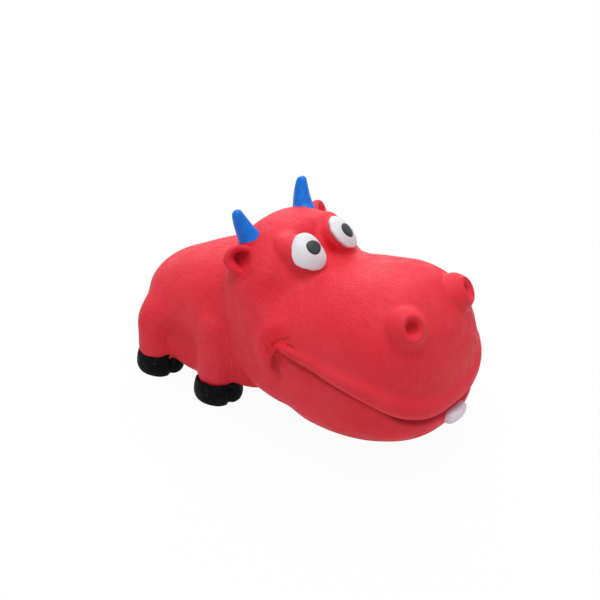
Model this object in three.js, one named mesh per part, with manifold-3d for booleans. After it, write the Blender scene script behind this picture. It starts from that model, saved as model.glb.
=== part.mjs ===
// Squeaky latex dog toy: a stout horned animal with a big hippo-like snout.
// The nose points along +X, the left side along +Y and up along +Z. Millimetres.
// The toy stands on its four hooves and its chin, so the floor is z = 0.
import * as THREE from 'three';
import { mergeVertices } from 'three/addons/utils/BufferGeometryUtils.js';
import Module from 'manifold-3d';

const wasm = await Module();
wasm.setup();

// Skin and fits
const SKIN_WALL = 1.8; // latex skin of trunk, head and jaw
const SEAT_GAP = 0.3; // between pieces that are bonded to each other
const RUN_GAP = 0.5; // round a piece that bends or is pressed in

const CLEAR = 200; // longer than the toy, for cuts that go right past it

// Whole toy
const TOY_LENGTH = 168; // from the rump to the front of the tooth

/** Place along the toy, given as a share of its length in front of its middle. */
const along = (share) => share * TOY_LENGTH;

// Trunk, rear to front: place, half width, underside, top and height of the widest line
const TRUNK_RINGS = [
  { x: along(-0.5), half: 0, bottom: 31, top: 31, level: 31 },
  { x: along(-0.4881), half: 17, bottom: 18, top: 44, level: 31 },
  { x: along(-0.4494), half: 28, bottom: 9, top: 50.5, level: 31 },
  { x: along(-0.369), half: 34, bottom: 4.5, top: 55.5, level: 31 },
  { x: along(-0.2619), half: 36, bottom: 3, top: 58, level: 31 },
  { x: along(-0.1429), half: 35.5, bottom: 3, top: 62, level: 32 },
  { x: along(-0.0238), half: 29, bottom: 4, top: 62, level: 34 },
  { x: along(0.0476), half: 0, bottom: 32, top: 32, level: 32 },
];
const TRUNK_ROUNDNESS = { over: 2.2, under: 3.2 }; // 2 is an ellipse, more is squarer

// Head with the upper half of the snout, rear to front
const HEAD_RINGS = [
  { x: along(-0.2143), half: 0, bottom: 44, top: 44, level: 44 },
  { x: along(-0.1905), half: 20, bottom: 22, top: 69, level: 43 },
  { x: along(-0.125), half: 32, bottom: 8, top: 84, level: 40 },
  { x: along(-0.0238), half: 38.5, bottom: 3.5, top: 89, level: 37 },
  { x: along(0.0833), half: 40, bottom: 2, top: 74, level: 35 },
  { x: along(0.1845), half: 40, bottom: 2.5, top: 75.5, level: 35 },
  { x: along(0.2857), half: 40.5, bottom: 6, top: 79.5, level: 36 },
  { x: along(0.375), half: 38, bottom: 9, top: 77.5, level: 35 },
  { x: along(0.4405), half: 31, bottom: 13, top: 67, level: 34 },
  { x: along(0.4762), half: 18.5, bottom: 21, top: 51, level: 33 },
  { x: along(0.4881), half: 0, bottom: 33, top: 33, level: 33 },
];
const HEAD_ROUNDNESS = { over: 2.25, under: 2.7 };

// Lower jaw, from the corners of the mouth to the chin
const JAW_RINGS = [
  { x: along(0.0119), half: 0, bottom: 26, top: 26, level: 26 },
  { x: along(0.0357), half: 28, bottom: 10, top: 62, level: 28 },
  { x: along(0.1071), half: 38.4, bottom: 1.2, top: 80, level: 29 },
  { x: along(0.2024), half: 38.4, bottom: -0.4, top: 76, level: 30 },
  { x: along(0.2976), half: 37.2, bottom: -0.2, top: 66, level: 34 },
  { x: along(0.381), half: 32, bottom: 4, top: 52, level: 33 },
  { x: along(0.4345), half: 24, bottom: 10, top: 42, level: 30 },
  { x: along(0.4643), half: 13, bottom: 18, top: 36, level: 28 },
  { x: along(0.4732), half: 0, bottom: 26, top: 26, level: 26 },
];
const JAW_ROUNDNESS = { over: 2.4, under: 2.4 };

// Mouth line, seen from the side: from the corner along the lip to the front
const MOUTH_LINE = [
  { x: along(0.0774), z: 48 },
  { x: along(0.2381), z: 44.5 },
  { x: along(0.3571), z: 39 },
  { x: along(0.4286), z: 34 },
  { x: along(0.5), z: 27 },
];

// Opening between the head and the trunk
const NECK_RADIUS = 13;
const NECK_LEVEL = 44;

// Back panel that is squeezed to sound the toy
const PANEL_PLACE = along(-0.3393);
const PANEL_HALF_LENGTH = 16;
const PANEL_HALF_WIDTH = 19;

// Legs and hooves
const FRONT_LEG_PLACE = along(-0.1625);
const REAR_LEG_PLACE = along(-0.3887);
const LEG_SPREAD = 32; // from the middle of the toy to the middle of a hoof
const LEG_TOP = 46;
const LEG_LEAN = 4.5; // how far the top of a leg leans in
const THIGH_RADIUS = 11.5;
const ANKLE_RADIUS = 10;
const HOOF_RADIUS = 11.3;
const HOOF_HEIGHT = 10.5;
const HOOF_BEVEL = 1.2;
const CLEFT_DEPTH = 4;
const CLEFT_WIDTH = 3.4;

// Horns
const HORN_PLACE = { x: along(-0.106), turn: 58.5 }; // turn: degrees up from the side of the head
const HORN_LENGTH = 19; // from the bending point to the tip
const HORN_RADIUS = 4.8;
const HORN_TIP_RADIUS = 2.3;
const HORN_SINK = 1.6; // depth of the bending point below the skin
const HORN_SWING = 20; // degrees that a horn bends each way
const HORN_LEAN = new THREE.Vector3(-0.26, 0.21, 0.94); // of the left horn

// Ears
const EAR_PLACE = { x: along(-0.1071), turn: 40 };
const EAR_REACH = 12.5; // from the root line to the rim
const EAR_HEIGHT = 13.5;
const EAR_THICKNESS = 8.5;
const EAR_WALL = 2.2;
const EAR_ROOT_RADIUS = 2.6;
const EAR_ROOT_LENGTH = 7;
const EAR_SWING = 20; // degrees that an ear bends each way

// Eyes
const EYE_PLACE = { x: along(0.044), side: 10, z: 77.2 };
const EYE_RADIUS = 9.6;
const EYE_DEPTH = 7; // from the eye's centre to the front of its dome
const EYE_AIM = new THREE.Vector3(0.62, 0.42, 0.66); // of the left eye, out of its lid
const EYELID_RADIUS = 11;
const EYELID_SINK = 4.5; // how far the lid's centre lies behind the eye's centre
const PUPIL_RADIUS = 3.2;
const PUPIL_THICKNESS = 0.7;
const GAZE = new THREE.Vector3(0.62, 0.03, 0.74); // of the left eye

// Nostrils
const NOSTRIL_PLACE = { x: along(0.3958), side: 19, z: 68.5 };
const NOSTRIL_RADIUS = 9.2;
const NOSTRIL_HEIGHT = 6.5;
const NOSTRIL_HOLE_RADIUS = 4.2;
const NOSTRIL_HOLE_DEPTH = 4;
const NOSTRIL_AIM = new THREE.Vector3(0.82, 0.25, 0.5); // of the left nostril

// Tooth
const TOOTH_WIDTH = 14.5;
const TOOTH_HEIGHT = 9.5;
const TOOTH_THICKNESS = 5;
const TOOTH_PROUD = 4.5; // how far its front stands out past the tip of the jaw
const TOOTH_CORNER = 4;

// Squeaker in the belly
const SQUEAKER_PLACE = along(-0.2738);
const RIM_RADIUS = 14; // thickened latex round the squeaker hole
const RIM_THICKNESS = 3.2;
const RIM_RECESS = 3.6; // how deep the rim lies in the belly
const SQUEAKER_HOLE_RADIUS = 9;
const SQUEAKER_FLANGE = 2.4; // flanges reach this far past the neck
const SQUEAKER_FLANGE_THICKNESS = 1.4;
const SQUEAKER_CHAMBER = 9; // height of the space above the inner flange
const SQUEAKER_WALL = 1.5;
const OUTLET_RADIUS = 1.6;
const LID_THICKNESS = 1.4;
const LID_PLUG = 2.4;
const INLET_RADIUS = 2;
const HOLDER_RADIUS = 3.6;
const HOLDER_LENGTH = 8;
const HOLDER_FLAT = 1.2; // from the holder's middle to the flat that the reed lies on
const REED_LENGTH = 7;
const REED_WIDTH = 4.4;
const REED_THICKNESS = 0.3;
const REED_GAP = 0.45;

// Colours and finishes
const LATEX_RED = { color: '#dd3f4d', roughness: 0.72, metalness: 0 };
const HORN_BLUE = { color: '#1d68c9', roughness: 0.42, metalness: 0 };
const PAINT_WHITE = { color: '#ecebed', roughness: 0.5, metalness: 0 };
const PAINT_BLACK = { color: '#15181a', roughness: 0.55, metalness: 0 };
const SQUEAKER_PLASTIC = { color: '#e9e6dc', roughness: 0.45, metalness: 0 };
const REED_BRASS = { color: '#c9a24c', roughness: 0.3, metalness: 1 };

const toy = new THREE.Group();

// Solids

/** The three.js geometry as a solid that can be joined and cut. */
function solid(geometry) {
  const bare = geometry.clone();
  bare.deleteAttribute('normal');
  bare.deleteAttribute('uv');
  const merged = mergeVertices(bare, 1e-4);
  return new wasm.Manifold(new wasm.Mesh({
    numProp: 3,
    vertProperties: new Float32Array(merged.attributes.position.array),
    triVerts: new Uint32Array(merged.index.array),
  }));
}

/** The solid as a three.js geometry. */
function geometryOf(body) {
  const mesh = body.getMesh();
  const geometry = new THREE.BufferGeometry();
  geometry.setAttribute('position', new THREE.BufferAttribute(mesh.vertProperties, 3));
  geometry.setIndex(new THREE.BufferAttribute(mesh.triVerts, 1));
  geometry.computeVertexNormals();
  return geometry;
}

function addPiece(name, body, finish) {
  const piece = new THREE.Mesh(geometryOf(body), new THREE.MeshStandardMaterial(finish));
  piece.name = name;
  toy.add(piece);
}

/** Rings smoothed along their length: share 0 is the first ring and share 1 the last one. */
function smoothRings(rings) {
  const spline = (pick) => new THREE.CatmullRomCurve3(rings.map(pick), false, 'catmullrom', 0.5);
  const reach = spline((ring) => new THREE.Vector3(ring.x, ring.half, ring.level));
  const heights = spline((ring) => new THREE.Vector3(ring.bottom, ring.top, 0));
  return (share) => {
    const { x, y: half, z: level } = reach.getPoint(share);
    const { x: bottom, y: top } = heights.getPoint(share);
    return { x, half, bottom, top, level };
  };
}

/** Point on a ring; turn is in radians up from the left side. */
function ringPoint({ x, half, bottom, top, level }, roundness, turn) {
  const power = 2 / (Math.sin(turn) > 0 ? roundness.over : roundness.under);
  const across = Math.sign(Math.cos(turn)) * Math.abs(Math.cos(turn)) ** power;
  const upward = Math.sign(Math.sin(turn)) * Math.abs(Math.sin(turn)) ** power;
  const height = upward > 0 ? top - level : level - bottom;
  return new THREE.Vector3(x, half * across, level + height * upward);
}

/** A closed form through oval rings; the first and last ring are its end points. */
function ringForm(rings, roundness, sides, rows, growth = 0) {
  const ringAt = smoothRings(rings);
  const positions = [rings[0].x, 0, rings[0].level];
  for (let row = 1; row < rows; row++) {
    const ring = ringAt(row / rows);
    for (let side = 0; side < sides; side++) {
      positions.push(...ringPoint(ring, roundness, (2 * Math.PI * side) / sides));
    }
  }
  const last = rings.at(-1);
  positions.push(last.x, 0, last.level);

  const corner = (row, side) => 1 + (row - 1) * sides + (side % sides);
  const end = positions.length / 3 - 1;
  const triangles = [];
  for (let side = 0; side < sides; side++) {
    triangles.push(0, corner(1, side + 1), corner(1, side));
    for (let row = 1; row < rows - 1; row++) {
      triangles.push(corner(row, side), corner(row, side + 1), corner(row + 1, side));
      triangles.push(corner(row, side + 1), corner(row + 1, side + 1), corner(row + 1, side));
    }
    triangles.push(corner(rows - 1, side), corner(rows - 1, side + 1), end);
  }
  const geometry = new THREE.BufferGeometry();
  geometry.setAttribute('position', new THREE.Float32BufferAttribute(positions, 3));
  geometry.setIndex(triangles);
  return growth === 0 ? geometry : grown(geometry, growth);
}

/** The same form with its skin moved outwards by a distance, or inwards if that is negative. */
function grown(geometry, distance) {
  geometry.computeVertexNormals();
  const { position, normal } = geometry.attributes;
  for (let i = 0; i < position.count; i++) {
    position.setXYZ(
      i,
      position.getX(i) + normal.getX(i) * distance,
      position.getY(i) + normal.getY(i) * distance,
      position.getZ(i) + normal.getZ(i) * distance,
    );
  }
  return geometry;
}

/** Point on the skin of a ring form at a place along X; turn is in degrees up from the left side. */
function skinPoint(rings, roundness, x, turn) {
  const ringAt = smoothRings(rings);
  let low = 0;
  let high = 1;
  while (high - low > 1e-6) {
    const middle = (low + high) / 2;
    if (ringAt(middle).x < x) low = middle;
    else high = middle;
  }
  return ringPoint({ ...ringAt(low), x }, roundness, THREE.MathUtils.degToRad(turn));
}

function ball(radius, centre, across = 20, upward = 14) {
  const geometry = new THREE.SphereGeometry(radius, across, upward);
  return solid(geometry.translate(centre.x, centre.y, centre.z));
}

/** A turned form whose profile, as [radius, height] pairs, stands along the local +Z. */
function turned(profile, sides) {
  const geometry = new THREE.LatheGeometry(profile.map(([r, h]) => new THREE.Vector2(r, h)), sides);
  return geometry.rotateX(Math.PI / 2);
}

/** Geometry moved so that its local +Z points along a direction, with its origin at a place. */
function aimed(geometry, place, direction) {
  const turn = new THREE.Quaternion().setFromUnitVectors(
    new THREE.Vector3(0, 0, 1),
    direction.clone().normalize(),
  );
  return geometry.applyQuaternion(turn).translate(place.x, place.y, place.z);
}

const mirrored = (vector) => new THREE.Vector3(vector.x, -vector.y, vector.z);
const onSide = (vector, side) => (side === 'left' ? vector.clone() : mirrored(vector));

// Forms of the skin

const SIDES = ['right', 'left'];
const handOf = (side) => (side === 'left' ? 1 : -1);

const trunkForm = (growth, sides = 28, rows = 16) =>
  solid(ringForm(TRUNK_RINGS, TRUNK_ROUNDNESS, sides, rows, growth));
const jawForm = (growth, sides = 28, rows = 16) =>
  solid(ringForm(JAW_RINGS, JAW_ROUNDNESS, sides, rows, growth));

const eyeCentre = (side) => onSide(new THREE.Vector3(EYE_PLACE.x, EYE_PLACE.side, EYE_PLACE.z), side);

/** Flattened eyeball, aimed out of its lid. */
function eyeForm(side, growth) {
  const dome = new THREE.SphereGeometry(1, 18, 12).rotateX(Math.PI / 2);
  dome.scale(EYE_RADIUS + growth, EYE_RADIUS + growth, EYE_DEPTH + growth);
  return solid(aimed(dome, eyeCentre(side), onSide(EYE_AIM, side)));
}

/** Head with the eyelids, which swell round the back of the eyes. */
function headForm(growth, sides = 28, rows = 22) {
  const aim = EYE_AIM.clone().normalize();
  const lid = (side) => ball(
    EYELID_RADIUS + growth,
    eyeCentre(side).addScaledVector(onSide(aim, side), -EYELID_SINK),
    14,
    10,
  );
  const skull = solid(ringForm(HEAD_RINGS, HEAD_ROUNDNESS, sides, rows, growth));
  return skull.add(lid('left')).add(lid('right'));
}

/** Everything under the mouth line and in front of its corners, less a gap. */
function underMouth(gap) {
  const line = MOUTH_LINE.map(({ x, z }) => new THREE.Vector2(x + gap, z - gap));
  const shape = new THREE.Shape();
  shape.moveTo(line[0].x, line[0].y);
  shape.splineThru(line.slice(1));
  shape.lineTo(CLEAR, line.at(-1).y);
  shape.lineTo(CLEAR, -CLEAR);
  shape.lineTo(line[0].x, -CLEAR);
  shape.closePath();
  const block = new THREE.ExtrudeGeometry(shape, {
    depth: 2 * CLEAR, bevelEnabled: false, curveSegments: 4,
  });
  return solid(block.rotateX(Math.PI / 2).translate(0, CLEAR, 0));
}

/** Upright oval column through the back, where the panel is cut out. */
function panelColumn(growth) {
  const column = new THREE.CylinderGeometry(1, 1, CLEAR, 28);
  column.rotateX(Math.PI / 2).scale(PANEL_HALF_LENGTH + growth, PANEL_HALF_WIDTH + growth, 1);
  return solid(column.translate(PANEL_PLACE, 0, CLEAR / 2 + TRUNK_RINGS[0].level));
}

/** Upright cylinder between two heights, on the line of the squeaker. */
function squeakerPost(radius, low, high, sides = 24) {
  const post = new THREE.CylinderGeometry(radius, radius, high - low, sides);
  return solid(post.rotateX(Math.PI / 2).translate(SQUEAKER_PLACE, 0, (low + high) / 2));
}

const head = headForm(0);
const headRoom = headForm(SEAT_GAP);
const trunk = trunkForm(0);
const trunkRoom = trunkForm(SEAT_GAP);
const trunkSkin = trunk.subtract(trunkForm(-SKIN_WALL, 18, 10));
const jawRoom = jawForm(SEAT_GAP);

// Horns, each on a ball that rolls in its socket

/** Bending point of a horn, just under the skin. */
function hornSeat(side) {
  const skin = skinPoint(HEAD_RINGS, HEAD_ROUNDNESS, HORN_PLACE.x, HORN_PLACE.turn);
  const lean = HORN_LEAN.clone().normalize();
  return onSide(skin.addScaledVector(lean, -HORN_SINK), side);
}

/** Turned form on the horn's line: half a ball round the bending point, then a given outline. */
function onHorn(radius, outline, side) {
  const ballSteps = 4;
  const profile = [[0, -radius]];
  for (let step = 1; step <= ballSteps; step++) {
    const angle = (Math.PI / 2) * (step / ballSteps - 1);
    profile.push([radius * Math.cos(angle), radius * Math.sin(angle)]);
  }
  const form = turned([...profile, ...outline], 14);
  return solid(aimed(form, hornSeat(side), onSide(HORN_LEAN, side)));
}

function hornForm(side) {
  const shaft = HORN_LENGTH - HORN_TIP_RADIUS;
  return onHorn(HORN_RADIUS, [
    [(HORN_RADIUS + HORN_TIP_RADIUS) / 2, shaft * 0.6],
    [HORN_TIP_RADIUS, shaft],
    [HORN_TIP_RADIUS * 0.7, HORN_LENGTH - HORN_TIP_RADIUS * 0.3],
    [0, HORN_LENGTH],
  ], side);
}

/** Socket that flares outwards as far as the horn bends. */
function hornSocket(side) {
  const radius = HORN_RADIUS + RUN_GAP;
  const flare = HORN_LENGTH * Math.tan(THREE.MathUtils.degToRad(HORN_SWING));
  return onHorn(radius, [[radius + flare, HORN_LENGTH], [0, HORN_LENGTH]], side);
}

// Ears, each on a round root that rolls in a groove

/** Middle of an ear's root on the skin, its outward direction and its root line. */
function earSeat(side) {
  const around = (turn) => skinPoint(HEAD_RINGS, HEAD_ROUNDNESS, EAR_PLACE.x, turn);
  const place = around(EAR_PLACE.turn);
  const root = around(EAR_PLACE.turn + 1).sub(around(EAR_PLACE.turn - 1)).normalize();
  const out = new THREE.Vector3(0, root.z, -root.y);
  return { place: onSide(place, side), out: onSide(out, side), root: onSide(root, side) };
}

/** Geometry with local X along an ear's reach and local Y along its root line, set on the head. */
function onEar(geometry, side) {
  const { place, out, root } = earSeat(side);
  const forward = new THREE.Vector3().crossVectors(out, root);
  const frame = new THREE.Matrix4().makeBasis(out, root, forward).setPosition(place);
  return solid(geometry.applyMatrix4(frame));
}

const earRoot = (side, growth) =>
  onEar(new THREE.CapsuleGeometry(EAR_ROOT_RADIUS + growth, EAR_ROOT_LENGTH, 3, 10), side);

/** The head as it lies to an ear that is bent by an angle, in degrees. */
function headFromEar(side, angle) {
  const { place, root } = earSeat(side);
  const turn = new THREE.Matrix4().makeRotationAxis(root, THREE.MathUtils.degToRad(angle));
  const shift = place.clone().sub(place.clone().applyMatrix4(turn));
  return headRoom.transform(turn.setPosition(shift).elements);
}

function earForm(side) {
  const leaf = (shrink) => new THREE.SphereGeometry(1, 12, 8).scale(
    EAR_REACH / 2 - shrink,
    EAR_HEIGHT / 2 - shrink,
    EAR_THICKNESS / 2,
  );
  const middle = EAR_REACH / 2;
  const front = handOf(side) * EAR_THICKNESS / 2; // local Z points forward on the left ear only
  const cup = leaf(EAR_WALL).translate(middle, 0, front);
  let shell = onEar(leaf(0).translate(middle, 0, 0), side).subtract(onEar(cup, side));
  for (const share of [-1, -0.5, 0, 0.5, 1]) {
    shell = shell.subtract(headFromEar(side, share * EAR_SWING));
  }
  return shell.add(earRoot(side, 0));
}

// Head, jaw and trunk

let headShell = head.subtract(headForm(-SKIN_WALL, 18, 14)).subtract(underMouth(0));
const neck = new THREE.CylinderGeometry(NECK_RADIUS, NECK_RADIUS, 2 * NECK_RADIUS, 24).rotateZ(Math.PI / 2);
headShell = headShell.subtract(solid(neck.translate(HEAD_RINGS[0].x, 0, NECK_LEVEL)));
for (const side of SIDES) {
  headShell = headShell.subtract(hornSocket(side));
  headShell = headShell.subtract(earRoot(side, RUN_GAP));
}
addPiece('head_shell', headShell, LATEX_RED);

const aboveFloor = new THREE.BoxGeometry(2 * CLEAR, CLEAR, CLEAR).translate(0, 0, CLEAR / 2);
const jawSkin = jawForm(0).subtract(jawForm(-SKIN_WALL, 18, 10));
addPiece('lower_jaw', jawSkin.intersect(underMouth(SEAT_GAP)).intersect(solid(aboveFloor)), LATEX_RED);

const belly = skinPoint(TRUNK_RINGS, TRUNK_ROUNDNESS, SQUEAKER_PLACE, -90).z;
const rimLow = belly + RIM_RECESS;
const rimHigh = rimLow + RIM_THICKNESS;
const rim = squeakerPost(RIM_RADIUS, belly + SKIN_WALL / 2, rimHigh);
const recess = squeakerPost(RIM_RADIUS - SKIN_WALL, belly - RIM_RECESS, rimLow);
const squeakerHole = squeakerPost(SQUEAKER_HOLE_RADIUS, belly, rimHigh + RIM_THICKNESS);
const openBack = trunkSkin.subtract(panelColumn(RUN_GAP)).subtract(headRoom);
addPiece('trunk_shell', openBack.add(rim).subtract(recess).subtract(squeakerHole), LATEX_RED);
addPiece('back_panel', trunkSkin.intersect(panelColumn(0)), LATEX_RED);

// Legs and hooves

/** Hollow leg that stands on the hoof, swells at the thigh and leans in towards the trunk. */
function legForm(x, side) {
  const foot = HOOF_HEIGHT + SEAT_GAP;
  const rise = LEG_TOP - foot;
  const column = (shrink, low) => {
    const geometry = turned([
      [0, low],
      [ANKLE_RADIUS - shrink, low],
      [ANKLE_RADIUS - shrink, rise * 0.2],
      [THIGH_RADIUS - shrink, rise * 0.6],
      [THIGH_RADIUS * 0.85 - shrink, rise * 0.85],
      [THIGH_RADIUS * 0.4, rise - shrink],
      [0, rise - shrink],
    ], 16);
    const lean = -handOf(side) * (LEG_LEAN / rise);
    geometry.applyMatrix4(new THREE.Matrix4().makeShear(0, 0, 0, 0, 0, lean));
    return solid(geometry.translate(x, handOf(side) * LEG_SPREAD, foot));
  };
  const hollow = column(SKIN_WALL, SKIN_WALL);
  return column(0, 0).subtract(hollow).subtract(trunkRoom).subtract(headRoom);
}

/** Solid hoof with a flat sole and a cleft in front. */
function hoofForm(x, side) {
  const barrel = turned([
    [0, 0],
    [HOOF_RADIUS - HOOF_BEVEL, 0],
    [HOOF_RADIUS, HOOF_BEVEL],
    [HOOF_RADIUS, HOOF_HEIGHT * 0.7],
    [ANKLE_RADIUS, HOOF_HEIGHT],
    [0, HOOF_HEIGHT],
  ], 20);
  const notch = new THREE.CylinderGeometry(CLEFT_DEPTH, CLEFT_DEPTH, 3 * HOOF_HEIGHT, 16);
  notch.scale(1, 1, CLEFT_WIDTH / (2 * CLEFT_DEPTH)).rotateX(Math.PI / 2).translate(HOOF_RADIUS, 0, 0);
  const y = handOf(side) * LEG_SPREAD;
  const shape = solid(barrel.translate(x, y, 0)).subtract(solid(notch.translate(x, y, 0)));
  return shape.subtract(trunkRoom).subtract(headRoom);
}

for (const side of SIDES) {
  for (const [end, x] of [['front', FRONT_LEG_PLACE], ['rear', REAR_LEG_PLACE]]) {
    addPiece(`${end}_${side}_leg`, legForm(x, side), LATEX_RED);
    addPiece(`${end}_${side}_hoof`, hoofForm(x, side), PAINT_BLACK);
  }
}

// Face

/** Thin round spot of paint on the eye. */
function pupilForm(side) {
  const centre = eyeCentre(side);
  const spot = new THREE.CylinderGeometry(PUPIL_RADIUS, PUPIL_RADIUS, 2 * EYE_RADIUS, 14);
  spot.rotateX(Math.PI / 2).translate(0, 0, EYE_RADIUS);
  const cap = eyeForm(side, SEAT_GAP + PUPIL_THICKNESS).subtract(eyeForm(side, SEAT_GAP));
  return cap.intersect(solid(aimed(spot, centre, onSide(GAZE, side))));
}

/** Round bump with a dimple in it. */
function nostrilForm(side) {
  const place = onSide(new THREE.Vector3(NOSTRIL_PLACE.x, NOSTRIL_PLACE.side, NOSTRIL_PLACE.z), side);
  const rimRadius = (NOSTRIL_RADIUS + NOSTRIL_HOLE_RADIUS) / 2;
  const bump = turned([
    [0, -NOSTRIL_HEIGHT],
    [NOSTRIL_RADIUS, -NOSTRIL_HEIGHT],
    [NOSTRIL_RADIUS, 0],
    [NOSTRIL_RADIUS * 0.92, NOSTRIL_HEIGHT * 0.5],
    [rimRadius, NOSTRIL_HEIGHT * 0.9],
    [NOSTRIL_HOLE_RADIUS * 1.2, NOSTRIL_HEIGHT],
    [NOSTRIL_HOLE_RADIUS, NOSTRIL_HEIGHT * 0.9],
    [NOSTRIL_HOLE_RADIUS * 0.7, NOSTRIL_HEIGHT - NOSTRIL_HOLE_DEPTH],
    [0, NOSTRIL_HEIGHT - NOSTRIL_HOLE_DEPTH],
  ], 20);
  return solid(aimed(bump, place, onSide(NOSTRIL_AIM, side))).subtract(headRoom);
}

for (const side of SIDES) {
  addPiece(`${side}_horn`, hornForm(side), HORN_BLUE);
  addPiece(`${side}_ear`, earForm(side), LATEX_RED);
  addPiece(`${side}_eye`, eyeForm(side, 0).subtract(headRoom), PAINT_WHITE);
  addPiece(`${side}_pupil`, pupilForm(side), PAINT_BLACK);
  addPiece(`${side}_nostril`, nostrilForm(side), LATEX_RED);
}

const toothFront = JAW_RINGS.at(-1).x + TOOTH_PROUD;

/** Wide front tooth under the lip, with round lower corners, lying against the jaw. */
function toothForm() {
  const half = TOOTH_WIDTH / 2;
  const shape = new THREE.Shape();
  shape.moveTo(-half, TOOTH_HEIGHT);
  shape.lineTo(-half, TOOTH_CORNER);
  shape.absarc(-half + TOOTH_CORNER, TOOTH_CORNER, TOOTH_CORNER, Math.PI, 1.5 * Math.PI);
  shape.absarc(half - TOOTH_CORNER, TOOTH_CORNER, TOOTH_CORNER, 1.5 * Math.PI, 2 * Math.PI);
  shape.lineTo(half, TOOTH_HEIGHT);
  shape.closePath();
  const plate = new THREE.ExtrudeGeometry(shape, {
    depth: TOOTH_THICKNESS, bevelEnabled: false, curveSegments: 6,
  });
  plate.rotateX(Math.PI / 2).rotateZ(Math.PI / 2);
  plate.translate(toothFront - TOOTH_THICKNESS, 0, MOUTH_LINE.at(-1).z - TOOTH_HEIGHT);
  return solid(plate).intersect(underMouth(SEAT_GAP)).subtract(jawRoom);
}

addPiece('tooth', toothForm(), PAINT_WHITE);

// Squeaker: a case clipped into the belly, its lid, and a reed on its holder

const neckRadius = SQUEAKER_HOLE_RADIUS - SEAT_GAP;
const flangeRadius = neckRadius + SQUEAKER_FLANGE;
const boreRadius = neckRadius - SQUEAKER_WALL;
const outerFlangeHigh = rimLow - SEAT_GAP;
const outerFlangeLow = outerFlangeHigh - SQUEAKER_FLANGE_THICKNESS;
const innerFlangeLow = rimHigh + SEAT_GAP;
const innerFlangeHigh = innerFlangeLow + SQUEAKER_FLANGE_THICKNESS;
const chamberTop = innerFlangeHigh + SQUEAKER_CHAMBER;
const caseTop = chamberTop + SQUEAKER_WALL;

const squeakerCase = turned([
  [boreRadius, outerFlangeLow],
  [flangeRadius, outerFlangeLow],
  [flangeRadius, outerFlangeHigh],
  [neckRadius, outerFlangeHigh],
  [neckRadius, innerFlangeLow],
  [flangeRadius, innerFlangeLow],
  [flangeRadius, innerFlangeHigh],
  [neckRadius, innerFlangeHigh],
  [neckRadius, caseTop],
  [OUTLET_RADIUS, caseTop],
  [OUTLET_RADIUS, chamberTop],
  [boreRadius, chamberTop],
  [boreRadius, outerFlangeLow],
], 20);
addPiece('squeaker_case', solid(squeakerCase.translate(SQUEAKER_PLACE, 0, 0)), SQUEAKER_PLASTIC);

const lidHigh = outerFlangeLow - SEAT_GAP;
const lidLow = lidHigh - LID_THICKNESS;
const squeakerLid = turned([
  [INLET_RADIUS, lidLow],
  [flangeRadius, lidLow],
  [flangeRadius, lidHigh],
  [boreRadius - SEAT_GAP, lidHigh],
  [boreRadius - SEAT_GAP, lidHigh + LID_PLUG],
  [INLET_RADIUS, lidHigh + LID_PLUG],
  [INLET_RADIUS, lidLow],
], 20);
addPiece('squeaker_lid', solid(squeakerLid.translate(SQUEAKER_PLACE, 0, 0)), SQUEAKER_PLASTIC);

const holderHigh = chamberTop - SEAT_GAP;
const holderLow = holderHigh - HOLDER_LENGTH;
const flatCut = new THREE.BoxGeometry(4 * HOLDER_RADIUS, HOLDER_RADIUS, 2 * HOLDER_LENGTH);
flatCut.translate(SQUEAKER_PLACE, HOLDER_FLAT + HOLDER_RADIUS / 2, (holderLow + holderHigh) / 2);
const channelLow = holderLow + SQUEAKER_WALL;
const channel = squeakerPost(OUTLET_RADIUS, channelLow, channelLow + HOLDER_LENGTH, 16);
const post = squeakerPost(HOLDER_RADIUS, holderLow, holderHigh, 20);
const holder = post.subtract(solid(flatCut)).subtract(channel);
addPiece('reed_holder', holder, SQUEAKER_PLASTIC);

const reed = new THREE.BoxGeometry(REED_WIDTH, REED_THICKNESS, REED_LENGTH);
const reedMiddle = HOLDER_FLAT + REED_GAP + REED_THICKNESS / 2;
reed.translate(SQUEAKER_PLACE, reedMiddle, holderHigh - REED_LENGTH / 2);
addPiece('reed', solid(reed), REED_BRASS);

// The origin lies under the middle of the toy's length
toy.position.x = -(TRUNK_RINGS[0].x + Math.max(HEAD_RINGS.at(-1).x, toothFront)) / 2;

export default toy;
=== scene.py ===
# Squeaky latex dog toy: its skin, paint and squeaker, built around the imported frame.
# The nose points along +X, the toy's left side along +Y. Tables are in millimetres.
import math

import bpy
import numpy as np
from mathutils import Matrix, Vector


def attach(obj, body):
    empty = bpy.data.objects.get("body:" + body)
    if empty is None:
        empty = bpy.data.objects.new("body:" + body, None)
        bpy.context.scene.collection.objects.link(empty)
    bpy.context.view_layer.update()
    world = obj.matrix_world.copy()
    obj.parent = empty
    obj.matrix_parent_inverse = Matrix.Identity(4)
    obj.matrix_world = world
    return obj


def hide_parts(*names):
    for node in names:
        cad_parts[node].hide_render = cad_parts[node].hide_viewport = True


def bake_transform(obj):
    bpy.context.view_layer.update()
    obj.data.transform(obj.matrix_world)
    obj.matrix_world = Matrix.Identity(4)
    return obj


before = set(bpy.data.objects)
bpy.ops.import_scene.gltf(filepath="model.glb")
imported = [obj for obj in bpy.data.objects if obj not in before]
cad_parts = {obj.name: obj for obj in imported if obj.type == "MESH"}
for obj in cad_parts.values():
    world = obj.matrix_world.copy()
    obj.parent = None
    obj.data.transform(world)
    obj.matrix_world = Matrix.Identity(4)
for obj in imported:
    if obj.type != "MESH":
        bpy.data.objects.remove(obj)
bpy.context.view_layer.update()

MM = 0.001
SIDES = {"right": -1, "left": 1}

# Camera of the photograph, found from the pairs of horns, pupils, nostrils and hooves
CAMERA_AZIMUTH = 39.4
CAMERA_ELEVATION = 31.0
CAMERA_DISTANCE = 570
CAMERA_TARGET = (-4, 0, 45.3)
CAMERA_LENS = 74.4

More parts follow.
